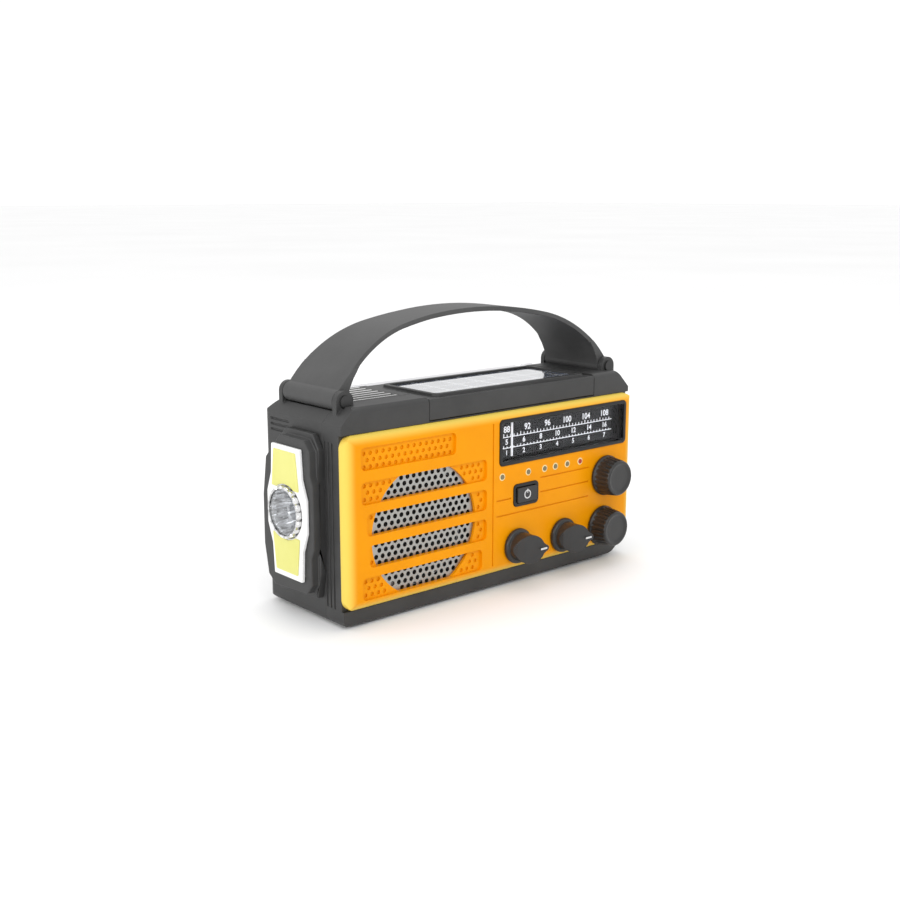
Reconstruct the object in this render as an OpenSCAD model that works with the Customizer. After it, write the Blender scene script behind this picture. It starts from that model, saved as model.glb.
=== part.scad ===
// Portable emergency radio: an assembly of separate moulded, pressed and
// turned pieces.  Units are millimetres, +Z is up, the front faces -Y and the
// torch end faces -X.  The frame's origin is under the middle of the whole
// radio, on the plane the rubber feet stand on.

/* [Case] */
// overall width of the case, left end to right end
body_width = 163; // [150:1:180]
// depth of the case, front panel face to flat back
body_depth = 57; // [52:1:64]
// height of the case top above the case bottom
body_height = 86.2; // [80:0.2:95]
// wall thickness of the two black case halves
wall = 2.2; // [1.6:0.1:3]
// radius of the rear top edge of the case
rear_round = 14; // [8:0.5:15]
// depth at which the front and rear halves meet
seam_depth = 15; // [12:0.5:20]
// height of the rubber feet below the case
foot_height = 0.8; // [0.5:0.1:2]

/* [Front panel] */
// bottom edge of the coloured panel
panel_low = 6; // [4:0.5:9]
// top edge of the coloured panel
panel_high = 75.3; // [72:0.1:77]
// corner radius of the panel seen from the front
panel_corner = 5; // [2:0.5:8]
// radius of the panel's rounded front edge
panel_edge = 3.9; // [2:0.1:4.2]
// thickness of the panel skin
panel_skin = 2.4; // [2:0.1:3]
// height of the speaker slots
slot_height = 9; // [7:0.1:10]
// spacing of the speaker slots
slot_pitch = 12.75; // [11:0.05:14]
// radius of the round area where the metal mesh shows
mesh_radius = 27; // [22:0.5:28]

/* [Controls] */
// radius of a large knob at its base
big_knob_r = 9.2; // [8:0.1:10]
// how far a large knob stands out of the panel
big_knob_h = 9.8; // [8:0.1:12]
// radius of a small pointer knob at its base
small_knob_r = 7.7; // [6.5:0.1:9]
// how far the grip fin of a small knob stands out
small_knob_h = 11.5; // [9:0.1:13]
// radius of all four control shafts
shaft_r = 3; // [2:0.1:3.2]
// radial running clearance in bushes and bores
run_gap = 0.05; // [0.02:0.01:0.1]

/* [Handle] */
// height of the top of the handle above the case bottom plane
handle_top = 118; // [112:1:126]
// thickness of the handle strap
strap_thick = 2; // [1.6:0.1:3]
// width of the strap where it meets the case
strap_wide = 33.6; // [30:0.1:34]
// width of the strap at its middle
strap_narrow = 22; // [18:1:30]

/* [Lid] */
// left edge of the solar lid
lid_left = 43.6; // [38:0.1:50]
// right edge of the solar lid
lid_right = 139.65; // [130:0.05:145]

/* [Crank] */
// length of the crank arm from its shaft to the grip's pivot
crank_arm_len = 42; // [36:1:44]
// module of the gear teeth
gear_module = 0.8; // [0.7:0.05:0.9]

/* [Aerial] */
// outer radius of the largest aerial tube
aerial_r = 3.1; // [2.6:0.1:3.4]

/* [Hidden] */
$fn = 48;
W = body_width;
D = body_depth;
bot = -0.7;
top = bot + body_height;
ps = panel_skin;
wall_y = 4.6;               // front face of the case wall behind the panel
in_y = wall_y + 2;          // inner face of that wall
xi0 = wall;                 // inner faces of the left, right, bottom and back walls
xi1 = W - wall;
zi0 = bot + wall;
yi1 = D - wall;
spk = [39.5, 33];           // speaker centre, X and Z
tun = [W - 18.1, 39.2];     // tuning knob
vol = [W - 19.8, 15.9];     // volume knob
bnd = [89.6, 16.6];         // band selector
lgt = [117.5, 16.2];        // light selector
hub_x = 7;                  // strap barrels: distance from each end, height and radius
hub_z = 87.2;
hub_r = 4.1;
pin_r = 1.5;
strap_y = 29.3;             // middle of the strap
ear_t = 2.6;                // thickness of the ears beside the strap
ear_y = [strap_y - strap_wide/2 - 0.3 - ear_t, strap_y + strap_wide/2 + 0.3];
lp = [45.8, 82.2];          // lid pivot, Y and Z
tor = [29.5, 42.5];         // torch centre, Y and Z
crk = [101, 43];            // crank shaft, X and Z
g1 = 48;                    // teeth of the crank gear and of the pinion it drives
p1 = 12;
g2 = 40;                    // teeth of the idler gear and of the dynamo's pinion
p2 = 10;
run1 = gear_module*(g1 + p1)/2;
run2 = gear_module*(g2 + p2)/2;
idl = [crk[0] + run1*cos(30), crk[1] - run1*sin(30)];   // idler gear, X and Z
dyn = [idl[0] + run2*cos(30), idl[1] - run2*sin(30)];   // dynamo, X and Z
aer = [19, 53.8, 81.4];     // aerial pivot
board_y = 15;               // front face of the circuit board
dial_box = [78.9, 52.5, 158.2, 72.5];   // dial opening, left, low, right, high
button_box = [87.2, 33.7, 102, 43.7];   // button opening
led_x = [80.75, 96.1, 106, 112.6, 120.1, 128.25];
led_z = 48;
screw_seat = 48.4;          // depth of the seats under the heads of the case screws
lens_out = 10.4;            // how far the torch lens stands out of the left end
crank_out = 9.6;            // how far the crank's grip stands out of the back
x_mid = (W + 0.1 - lens_out)/2;
y_mid = (D + crank_out - small_knob_h)/2;

// ---- helpers -------------------------------------------------------------
module at() { translate([-x_mid, -y_mid, foot_height - bot]) children(); }
module ext_y(y0, y1) { translate([0, y1, 0]) rotate([90, 0, 0]) linear_extrude(y1 - y0) children(); }
module ext_x(x0, x1) { translate([x0, 0, 0]) rotate([90, 0, 90]) linear_extrude(x1 - x0) children(); }
module ext_z(z0, z1) { translate([0, 0, z0]) linear_extrude(z1 - z0) children(); }
module cyl_y(r, y0, y1, p) { ext_y(y0, y1) translate(p) circle(r); }
module cyl_x(r, x0, x1, p) { ext_x(x0, x1) translate(p) circle(r); }
module box(a, b) { translate(a) cube([b[0]-a[0], b[1]-a[1], b[2]-a[2]]); }
// rectangle with a radius for each corner, anticlockwise from the lower left
module rr4(x0, y0, x1, y1, a, b, c, d) {
  difference() {
    translate([x0, y0]) square([x1-x0, y1-y0]);
    if (a > 0) translate([x0-1, y0-1]) square([a+1, a+1]);
    if (b > 0) translate([x1-b, y0-1]) square([b+1, b+1]);
    if (c > 0) translate([x1-c, y1-c]) square([c+1, c+1]);
    if (d > 0) translate([x0-1, y1-d]) square([d+1, d+1]);
  }
  if (a > 0) translate([x0+a, y0+a]) circle(a);
  if (b > 0) translate([x1-b, y0+b]) circle(b);
  if (c > 0) translate([x1-c, y1-c]) circle(c);
  if (d > 0) translate([x0+d, y1-d]) circle(d);
}
module rr(x0, y0, x1, y1, r) { rr4(x0, y0, x1, y1, r, r, r, r); }
// the same on a box given as [x0, y0, x1, y1], made g smaller all round
module frame2(b, g, r) { rr(b[0]+g, b[1]+g, b[2]-g, b[3]-g, r); }
module ring(r1, r0) {
  difference() {
    circle(r1, $fn = 96);
    circle(r0, $fn = 96);
  }
}
module gear2(n, bore, phase) {
  m = gear_module;
  pr = m*n/2;
  w = 0.42*PI*m/2;
  difference() {
    union() {
      circle(pr - 1.1*m, $fn = 72);
      for (i = [0:n-1]) rotate(phase + i*360/n)
        polygon([[pr-1.3*m, -w-0.16*m], [pr, -w], [pr+0.8*m, -w+0.3*m],
                 [pr+0.8*m, w-0.3*m], [pr, w], [pr-1.3*m, w+0.16*m]]);
    }
    circle(bore);
  }
}

// ---- outer envelope of the black case ------------------------------------
module envelope(y0, y1) {
  intersection() {
    ext_y(y0, y1) rr4(0, bot, W, top, 3, 3, 3, 3);
    ext_y(y0, y1) polygon([[-1, bot-1], [W-11.5, bot-1], [W+1, bot+8], [W+1, 76.8], [W-8.6, top+1],
      [7.2, top+1], [-1, 77.8]]);
    ext_x(-1, W+1) rr4(3, bot, D, top, 2, 7, rear_round, 2.3);
    ext_z(bot-1, top+1) rr4(0, 0, W, D, 1, 1, 5, 5);
  }
}
module lid_space() {
  box([lid_left-0.2, 5.3, 79.2], [lid_right+0.2, 48.2, top+1]);
  box([lid_left-0.2, 2, 75.9], [lid_right+0.2, 5.4, top+1]);
}
// inside of the case below the cap, following the cut corner
module main_hollow(y0, y1, z1) {
  ext_y(y0, y1) polygon([[xi0, zi0], [W-10.8, zi0], [xi1, zi0+6.2], [xi1, z1], [xi0, z1]]);
}
module upper_hollow(y0, y1) {
  box([13.5, y0, 76.9], [lid_left-2.4, y1, top-wall]);
  box([4.4, y0, 76.9], [13.6, y1, 80.4]);
  box([lid_right+2.4, y0, 76.9], [W-13.5, y1, top-wall]);
  box([W-13.6, y0, 76.9], [W-4.6, y1, 80.4]);
}
// trough for the folded aerial, open at the right end
module aerial_trough() { box([13, 50.4, 77.2], [W+1, D+1, top+1]); }
// half-round seats under the ends of the strap
module strap_seats() {
  for (x = [hub_x, W-hub_x]) {
    cyl_y(hub_r+0.5, ear_y[0]+ear_t, ear_y[1], [x, hub_z]);
    box([x-hub_r-0.5, ear_y[0]+ear_t, hub_z], [x+hub_r+0.5, ear_y[1], hub_z+6]);
  }
}
module ear(x, y0) {
  difference() {
    union() {
      cyl_y(hub_r, y0, y0+ear_t, [x, hub_z]);
      box([x-hub_r, y0, top-5.5], [x+hub_r, y0+ear_t, hub_z]);
    }
    cyl_y(pin_r, y0-1, y0+ear_t+1, [x, hub_z]);
    ext_y(0, 50) corners2(1.6);
    ext_y(screw_seat, D) corners2(3.1);
  }
}

module slots2(open) {
  intersection() {
    union() {
      for (i = [0:3]) {
        zc = 14.25 + i*slot_pitch;
        x0 = [7, 10.7, 9.5, 7][i];
        x1 = [69.5, 72, 72, 72][i];
        rr(x0, zc-slot_height/2, x1, zc+slot_height/2, 2);
      }
      if (!open) rr(7, 66-slot_height/2, 55, 66+slot_height/2, 2);
    }
    if (open) translate(spk) circle(mesh_radius, $fn = 96);
    else square([80, 80]);
  }
}
module dimples2() {
  for (i = [0:4], r = [-1:1], k = [0:20]) {
    z = 14.25 + i*slot_pitch + r*2.7;
    x = 9.2 + k*3.1 + (r == 0 ? 1.55 : 0);
    x0 = [8.6, 12.2, 11, 8.6, 8.6][i];
    x1 = [68, 70.4, 70.4, 70.4, 53.6][i];
    if (x > x0 && x < x1 && norm([x, z] - spk) > mesh_radius+1.3)
      translate([x, z]) circle(0.85, $fn = 16);
  }
}
module led_holes2() {
  for (x = led_x) translate([x, led_z]) circle(1.1, $fn = 24);
}
module panel_holes2() {
  frame2(dial_box, 0, 2);
  frame2(button_box, 0, 2);
  for (p = [tun, vol, bnd, lgt]) translate(p) circle(3.8);
  led_holes2();
}
module panel2(g) { frame2([0, panel_low, W, panel_high], g, panel_corner - g); }
module front_panel() color([0.97, 0.56, 0.06]) at() intersection() {
  difference() {
    union() {
      ext_y(0, 1.2) difference() {
        panel2(0);
        slots2(false);
      }
      ext_y(1.2, 1.8) difference() {
        panel2(0);
        slots2(true);
        dimples2();
      }
      ext_y(1.8, ps) difference() {
        panel2(0);
        slots2(true);
      }
      ext_y(ps, wall_y-0.02) difference() {
        panel2(0);
        panel2(ps);
      }
    }
    ext_y(-1, ps+0.1) panel_holes2();
    // engraved lines between the controls and beside the speaker
    for (z = [31.2, 38, 44.4])
      box([z > 35 ? 103.5 : 77.6, -1, z-0.3], [134, 0.5, z+0.3]);
    box([77.6, -1, 37.7], [86.2, 0.5, 38.3]);
    box([75.2, -1, panel_low+4], [75.8, 0.4, panel_high-4]);
  }
  ext_x(-1, W+1) rr4(0, panel_low, 9, panel_high, panel_edge, 0, 0, panel_edge);
  ext_z(0, 90) rr4(0, 0, W, 9, panel_edge, panel_edge, 0, 0);
}

// board posts, and the four screws near the corners
module posts2(r) {
  for (p = [[76, 30], [104, 30], [76, 56], [104, 56], [130.3, 10]]) translate(p) circle(r);
}
module corners2(r) {
  for (p = [[7, 8], [W-7, 8], [7, 70], [W-6.5, 79]]) translate(p) circle(r);
}
module front_case() color([0.13, 0.13, 0.14]) at() {
  difference() {
    envelope(3, seam_depth);
    box([-1, 2, panel_low-0.1], [W+1, wall_y, panel_high+0.1]);
    main_hollow(in_y, seam_depth+1, 77);
    upper_hollow(in_y, seam_depth+1);
    lid_space();
    strap_seats();
    for (x = [hub_x, W-hub_x]) cyl_y(2.9, ear_y[0]-1.3, ear_y[0], [x, hub_z]);
    ext_y(2, in_y+1) {
      translate(spk) circle(26.5, $fn = 96);
      translate([82, 71.4]) square([72, 1.9]);
      frame2(button_box, -0.5, 2);
      for (p = [tun, vol, bnd, lgt]) translate(p) circle(3.6);
      led_holes2();
    }
    for (y = [8.4, 10.8, 13.2]) box([-1, y, 6], [0.6, y+1, 72]);
    ext_y(in_y+0.9, seam_depth+1) corners2(1.5);
  }
  // screw bosses and board posts
  difference() {
    ext_y(in_y-0.1, seam_depth) {
      corners2(3.2);
      posts2(2.2);
    }
    ext_y(in_y+0.9, seam_depth+1) {
      corners2(1.5);
      posts2(0.9);
    }
  }
  // guide posts for the dial cord
  cyl_y(2.5, in_y-0.1, 12.2, [84.25, 68.25]);
  cyl_y(4.65, 10.3, 12.2, [84.25, 68.25]);
  cyl_y(2.4, in_y-0.1, 12.2, [W-6.3, 70.5]);
  cyl_y(2.4, in_y-0.1, 12.2, [tun[0]-17.8, 60]);
  // holders for the pointer rail
  difference() {
    union() {
      box([76.8, in_y-0.1, 73.6], [79.2, 10.2, 77.1]);
      box([W-4.7, in_y-0.1, 73.6], [xi1+0.1, 10.2, 77.1]);
    }
    cyl_x(1, 70, W, [9.1, 75]);
  }
  ear(hub_x, ear_y[0]);
  ear(W-hub_x, ear_y[0]);
}

module rear_case() color([0.12, 0.12, 0.13]) at() {
  difference() {
    envelope(seam_depth, D);
    main_hollow(seam_depth-1, yi1, 75);
    box([xi0, seam_depth-1, 74.9], [xi1, 48, 77]);
    upper_hollow(seam_depth-1, 48);
    lid_space();
    strap_seats();
    ext_y(seam_depth-1, 50) corners2(1.6);
    aerial_trough();
    // torch opening, battery opening, crank bush, socket openings
    cyl_x(9.6, -1, xi0+1, tor);
    box([11.2, yi1-1, 6.3], [60.8, D+1, 41.8]);
    cyl_y(4+run_gap, yi1-1, D+4, crk);
    ext_x(W-1.3, W+1) rr4(21.4, 44.6, 49, 61.6, 0, 1.4, 1.4, 0);
    ext_x(xi1-1, W+1) {
      rr(24.8, 49.6, 34.2, 56, 1);
      rr(35.4, 49.6, 46.4, 58.6, 0.6);
    }
    // lid pins, aerial pivot, vents in the left top, grooves in the left end
    cyl_x(1, lid_left-4, lid_right+4, lp);
    cyl_y(1.2, 46, 51, [aer[0], aer[2]]);
    for (i = [0:6]) box([14, 17+i*4.2, top-0.9], [39, 18.5+i*4.2, top+1]);
    for (z = [71.4, 73.6, 75.8]) box([-1, 38, z], [0.6, 51, z+0.8]);
    ext_y(screw_seat, D+1) corners2(3.1);
  }
  // bosses for the case screws, with deep wells for the heads
  difference() {
    ext_y(seam_depth, screw_seat) corners2(3.2);
    ext_y(seam_depth-1, D) corners2(1.6);
  }
  difference() {
    intersection() {
      ext_y(screw_seat-0.1, yi1+0.1) difference() {
        corners2(4.2);
        corners2(3.1);
      }
      envelope(16, D);
    }
    aerial_trough();
  }
  intersection() {
    ext_y(screw_seat-0.8, screw_seat+0.01) difference() {
      corners2(4.2);
      corners2(1.6);
    }
    envelope(16, D);
  }
  // battery box behind the door
  difference() {
    box([10, 41.2, 4.8], [62.3, yi1+0.1, 43.3]);
    box([11.2, 42.7, 6.3], [60.8, D, 41.8]);
  }
  // bush around the crank shaft
  difference() {
    cyl_y(6.5, 50, yi1+0.1, crk);
    cyl_y(4+run_gap, 49, D, crk);
  }
  // cradle ribs under the lithium cell
  for (x = [22, 66]) difference() {
    box([x, 34, 52], [x+2, yi1+0.1, 62]);
    cyl_x(9.3, x-1, x+3, [38, 66]);
  }
  ear(hub_x, ear_y[1]);
  ear(W-hub_x, ear_y[1]);
}

// pressed mesh: holes only where the slots leave it open
module speaker_mesh() color([0.62, 0.62, 0.6]) at() ext_y(ps+0.02, ps+0.52) difference() {
  intersection() {
    translate(spk) circle(28.2, $fn = 96);
    translate([0, panel_low+2.6]) square([80, 70]);
  }
  for (j = [-10:10], i = [-8:8]) {
    x = i*3.2 + (j % 2 == 0 ? 0 : 1.6);
    z = j*2.5;
    off = min([for (k = [0:3]) abs(spk[1] + z - 14.25 - k*slot_pitch)]);
    if (norm([x, z]) < 26 && off < 5.1) translate(spk + [x, z]) circle(1, $fn = 16);
  }
}
module spin_y(y, p) {
  translate([p[0], y, p[1]]) rotate([-90, 0, 0]) rotate_extrude($fn = 96) children();
}
module speaker_basket() color([0.3, 0.3, 0.31]) at() difference() {
  spin_y(in_y+0.02, spk) polygon([[24.6, 0], [28, 0], [28, 1.4], [26, 1.6], [14, 9.5], [14, 11],
    [12.6, 11], [12.6, 18.4], [0, 18.4], [0, 12.6], [3, 12.6], [3, 10.6], [12, 9.6], [24.6, 1.2]]);
  for (a = [0:3])
    translate([spk[0], 0, spk[1]]) rotate([0, 45+a*90, 0]) box([15.5, 9.4, -4], [22.4, 16, 4]);
}
module speaker_cone() color([0.2, 0.19, 0.18]) at() spin_y(in_y+0.3, spk)
  polygon([[7, 6.2], [22, 0.8], [23.2, 0.2], [24.2, 0.8], [24.2, 1.1], [23.2, 0.6], [22, 1.2],
    [7.2, 6.7], [6, 5.4], [4, 4.8], [0, 4.4], [0, 4], [4, 4.4], [6, 5]]);

module dial_bezel() color([0.07, 0.07, 0.08]) at() ext_y(-0.5, ps) difference() {
  frame2(dial_box, 0.1, 2);
  frame2(dial_box, 1.7, 1);
}
module dial_lens() color([0.1, 0.11, 0.12, 0.45]) at() ext_y(0.2, 1.6) frame2(dial_box, 1.75, 1);
module dial_scale() color([0.85, 0.85, 0.82]) at() difference() {
  ext_y(3.9, wall_y-0.02) frame2(dial_box, 1.3, 0.5);
  for (k = [0:14], z = [57, 62, 66.8])
    box([84+k*4.9, 3.6, z], [84.5+k*4.9, 4.1, z+(k%5 == 0 ? 2.6 : 1.6)]);
}
module dial_needle() color([0.85, 0.1, 0.05]) at() difference() {
  union() {
    box([88.5, 3, 55.5], [89.3, 3.5, 72.7]);
    box([87.4, 3, 71.8], [90.4, 9, 72.8]);
    box([87.4, 7.6, 71.8], [90.4, 9, 73.4]);
    box([86.3, 7.6, 73.2], [91.3, 12.4, 76.6]);
  }
  box([84, 10.4, 71], [94, 13, 74.2]);
  cyl_x(1+run_gap, 84, 94, [9.1, 75]);
}
module dial_rail() color([0.75, 0.75, 0.77]) at() cyl_x(1, 77, W-2.4, [9.1, 75]);
module dial_cord() color([0.8, 0.78, 0.7]) at() ext_y(10.75, 11.25) {
  cr = 14.8;
  l = tun[0]-cr;
  r = tun[0]+cr;
  h = 0.25;
  translate([r-h, tun[1]]) square([2*h, 70.5-tun[1]]);
  cord_bend([r-3, 70.5], 3, h, [0, 0], [4, 4]);
  translate([84.25, 73.5-h]) square([r-3-84.25, 2*h]);
  cord_bend([84.25, 68.25], 5.25, h, [-6.25, -6.25], [6.25, 13]);
  translate([84.25, 63-h]) square([l-3-84.25, 2*h]);
  cord_bend([l-3, 60], 3, h, [0, 0], [4, 4]);
  translate([l-h, tun[1]]) square([2*h, 60-tun[1]]);
  cord_bend(tun, cr, h, [-20, -20], [40, 20]);
}
// the part of a ring of radius r about c that lies in a box from c+p, size s
module cord_bend(c, r, h, p, s) {
  intersection() {
    translate(c) ring(r+h, r-h);
    translate(c+p) square(s);
  }
}

module big_knob(p) difference() {
  translate([p[0], -0.4, p[1]]) rotate([90, 0, 0]) difference() {
    rotate_extrude($fn = 96) polygon([[0, 0], [big_knob_r, 0], [big_knob_r, 1.2], [8.7, 1.5],
      [8.1, big_knob_h-1.4], [7.4, big_knob_h-0.6], [6.4, big_knob_h-0.4], [5.9, big_knob_h-0.9],
      [0, big_knob_h-0.9]]);
    for (a = [0:23])
      rotate(a*15) translate([8.85, 0, 1.6]) rotate([0, -4.2, 0]) cylinder(r = 0.55, h = 10, $fn = 16);
  }
  cyl_y(shaft_r, -7.5, 0, p);
}
// drop-shaped pointer grip on a round skirt, higher towards its point
module small_knob(p) difference() {
  union() {
    translate([p[0], -0.4, p[1]]) rotate([90, 0, 0]) rotate_extrude($fn = 96)
      polygon([[0, 0], [small_knob_r, 0], [small_knob_r, 1.2], [small_knob_r-0.6, 2], [0, 2.4]]);
    intersection() {
      ext_y(-small_knob_h, -2) translate(p) {
        circle(6.3, $fn = 96);
        polygon([[1.5, -6.12], [7.2, -1.25], [7.2, 1.25], [1.5, 6.12]]);
        translate([7, 0]) circle(1.3);
      }
      ext_z(0, 40) translate([p[0], 0]) polygon([[-6.5, 0], [-6.5, -4], [-5.2, -6.4], [-2.6, -8.4],
        [7.2, -small_knob_h], [8.3, -small_knob_h], [8.3, 0]]);
    }
  }
  cyl_y(shaft_r, -7, 0, p);
}
module shaft(p, y1) cyl_y(shaft_r, -6.8, y1, p);
module tuning_knob() color([0.1, 0.1, 0.11]) at() big_knob(tun);
module volume_knob() color([0.1, 0.1, 0.11]) at() big_knob(vol);
module band_knob() color([0.1, 0.1, 0.11]) at() small_knob(bnd);
module light_knob() color([0.1, 0.1, 0.11]) at() small_knob(lgt);
module tuning_shaft() color([0.8, 0.8, 0.82]) at() cyl_y(shaft_r, -7.3, 20, tun);
module volume_shaft() color([0.8, 0.8, 0.82]) at() cyl_y(shaft_r, -7.3, 13.5, vol);
module band_shaft() color([0.8, 0.8, 0.82]) at() shaft(bnd, 13.5);
module light_shaft() color([0.8, 0.8, 0.82]) at() shaft(lgt, 13.5);
module tuning_drum() color([0.85, 0.84, 0.78]) at() difference() {
  union() {
    ext_y(9.4, 10.4) translate(tun) circle(15.4, $fn = 96);
    ext_y(10.3, 11.7) translate(tun) circle(14.25, $fn = 96);
    ext_y(11.6, 12.6) translate(tun) circle(15.4, $fn = 96);
    cyl_y(5.5, 8, 13.6, tun);
  }
  cyl_y(shaft_r, 5, 16, tun);
  for (a = [0:5]) translate([tun[0], 0, tun[1]]) rotate([0, a*60, 0]) cyl_y(2.4, 8, 14, [9.6, 0]);
}
module tuning_capacitor() color([0.9, 0.9, 0.86]) at() difference() {
  ext_y(16.7, 27) translate(tun) rr(-8, -8, 8, 8, 1);
  cyl_y(shaft_r+run_gap, 16, 20.3, tun);
}
module pot(p) {
  difference() {
    union() {
      ext_y(8.2, 14.9) translate(p) rr(-7.5, -7.5, 7.5, 7.5, 1.5);
      cyl_y(3.55, 1.5, 8.3, p);
    }
    cyl_y(shaft_r+run_gap, 0, 13.8, p);
  }
  for (x = [-5, 0, 5]) box([p[0]+x-0.5, 10, p[1]-9.6], [p[0]+x+0.5, 10.6, p[1]-7.4]);
}
module rotary_controls() color([0.55, 0.56, 0.58]) at() {
  pot(vol);
  pot(bnd);
  pot(lgt);
}
module button_bezel() color([0.06, 0.06, 0.07]) at() ext_y(-0.5, ps) difference() {
  frame2(button_box, 0.05, 1.9);
  frame2(button_box, 1.5, 1);
}
module push_button() color([0.1, 0.1, 0.11]) at() {
  ext_y(-1.3, 2.8) frame2(button_box, 1.7, 0.9);
  ext_y(2.7, 3.4) frame2(button_box, 0.4, 0.9);
  cyl_y(1.8, 3.3, 12.2, [94.6, 38.7]);
}
module button_switch() color([0.7, 0.7, 0.7]) at() {
  box([91.6, 13.7, 35.7], [97.6, 14.98, 41.7]);
  cyl_y(1.5, 13.4, 13.8, [94.6, 38.7]);
}
module indicator_leds() color([0.9, 0.95, 0.9]) at() {
  for (x = led_x) cyl_y(1, -0.3, 14.9, [x, led_z]);
}
module main_board() color([0.05, 0.35, 0.15]) at() {
  ext_y(board_y, 16.6) difference() {
    polygon([[72.5, 3], [W-12, 3], [W-3, 12], [W-3, 76], [72.5, 76]]);
    posts2(1);
    translate(tun) circle(3.6);
    translate([W-7, 8]) circle(3.6);
  }
  box([84, 16.5, 34], [98, 18, 48]);
  box([112, 16.5, 30], [120, 17.8, 38]);
  box([104, 16.5, 12], [112, 17.6, 18]);
  for (x = [90, 146]) difference() {
    box([x-1.5, 16.5, 63], [x+1.5, 26, 68]);
    cyl_x(4.5, x-2, x+2, [24, 70]);
  }
  for (x = [82.5, 89.5]) cyl_y(3, 16.5, 26, [x, 52]);
  cyl_y(2.5, 16.5, 23, [126, 54]);
}
module ferrite_rod() color([0.2, 0.19, 0.19]) at() {
  cyl_x(4.5, 86, 150, [24, 70]);
  cyl_x(5.4, 98, 122, [24, 70]);
}

// outlines of the torch's mouldings about the lens, rear side towards +Y
module torch_base2() translate([tor[0], 0]) polygon([[-15.4, 20], [-13, 9], [13, 7],
  [18, 11], [20.6, 26], [20.4, 46], [17.8, 63], [7, 74.6], [-11.6, 74.6], [-15.4, 69]]);
module torch_block2() translate([tor[0], 0]) polygon([[-16, 30], [-14.2, 26], [-14.2, 15],
  [-11, 11], [12, 9.6], [16.6, 13], [19.2, 26], [19, 46], [16.4, 62], [6, 72.4],
  [-10.4, 72.4], [-14.2, 68.2], [-14.2, 59], [-16, 55]]);
module torch_housing() color([0.15, 0.15, 0.16]) at() difference() {
  union() {
    ext_x(-2.8, -0.02) torch_base2();
    ext_x(-6.2, -2.7) torch_block2();
  }
  cyl_x(9.6, -10, 1, tor);
}
module torch_plate() color([0.97, 0.97, 0.95]) at() difference() {
  ext_x(-7.8, -6.2) translate([tor[0], 0])
    polygon([[-9.6, 15.6], [9.6, 15.6], [10.4, 28], [13.4, 36], [13.4, 49], [10.4, 57], [9.6, 68.8],
      [-9.6, 68.8], [-10.4, 57], [-13.4, 49], [-13.4, 36], [-10.4, 28]]);
  cyl_x(10.7, -9, 0, tor);
}
module cob_strips() color([0.97, 0.95, 0.5]) at() for (s = [0, 1])
  translate([0, 0, s*2*tor[1]]) mirror([0, 0, s]) ext_x(-8.3, -7.81) difference() {
    translate([tor[0], 0]) polygon([[-9, 54], [-9.2, 52], [9.2, 52], [9, 54], [7.4, 67], [-7.4, 67]]);
    translate(tor) circle(11.2, $fn = 96);
  }
module spin_x(x) {
  translate([x, tor[0], tor[1]]) rotate([0, 90, 0]) rotate_extrude($fn = 96) children();
}
module torch_lens() color([0.9, 0.95, 1, 0.4]) at() spin_x(-lens_out)
  polygon([[0, 0], [5, 0.25], [9.4, 1.2], [9.4, 3], [0, 3]]);
module torch_reflector() color([0.85, 0.85, 0.87]) at() spin_x(-9.6)
  polygon([[9.45, 0], [10.4, 0], [10.6, 0.4], [10.6, 3.3], [9.5, 3.4], [9.3, 4.6], [5.4, 14], [3, 15.6],
    [1.9, 15.6], [1.9, 15], [2.9, 15], [4.9, 13.5], [8.7, 4.2], [9.45, 2.8]]);
module torch_led() color([0.9, 0.9, 0.6]) at() {
  cyl_x(8, 6.1, 7.7, tor);
  cyl_x(1.7, 4.9, 6.2, tor);
}

module solar_lid() color([0.12, 0.12, 0.13]) at() difference() {
  union() {
    intersection() {
      union() {
        box([lid_left, 5.2, 79.6], [lid_right, lp[0], 84.8]);
        box([lid_left, 3, 76.2], [lid_right, 5.25, 84.8]);
        ext_z(84.7, 85.9) difference() {
          rr(lid_left+5.4, 6.2, lid_right-2.8, 42, 3.2);
          rr(lid_left+7.8, 8.4, lid_right-5.2, 39.6, 2);
        }
      }
      ext_x(0, W) rr4(3, 70, 60, 86, 0, 0, 0, 2.3);
    }
    cyl_x(2.2, lid_left, lid_right, lp);
  }
  box([lid_left+3, 7.5, 78], [lid_right-3, 42, 81.4]);
  ext_z(83.4, 87) rr(lid_left+7.8, 8.4, lid_right-5.2, 39.6, 2);
  for (x = [lid_left-1, lid_right-5]) cyl_x(1+run_gap, x, x+6, lp);
}
module solar_panel() color([0.2, 0.24, 0.34]) at()
  ext_z(83.42, 85.1) rr(lid_left+8, 8.6, lid_right-5.4, 39.4, 1.9);
module lamp_lens() color([0.95, 0.95, 0.9, 0.6]) at() ext_z(79.8, 81.38) rr(56, 14, 127, 34, 3);
module hinge_pins() color([0.75, 0.75, 0.77]) at() {
  cyl_x(1, lid_left-2.3, lid_left+4, lp);
  cyl_x(1, lid_right-4, lid_right+2.3, lp);
  for (x = [hub_x, W-hub_x]) {
    cyl_y(pin_r, ear_y[0]-0.1, ear_y[1]+ear_t+0.1, [x, hub_z]);
    cyl_y(2.4, ear_y[0]-0.8, ear_y[0]-0.02, [x, hub_z]);
    cyl_y(2.4, ear_y[1]+ear_t+0.02, ear_y[1]+ear_t+0.8, [x, hub_z]);
  }
}
module arc_seg(c, r, t, a0, a1) translate(c) intersection() {
  ring(r, r-t);
  polygon([[0, 0], for (a = [a0, (a0+a1)/2, a1]) [300*cos(a), 300*sin(a)]]);
}
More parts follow.
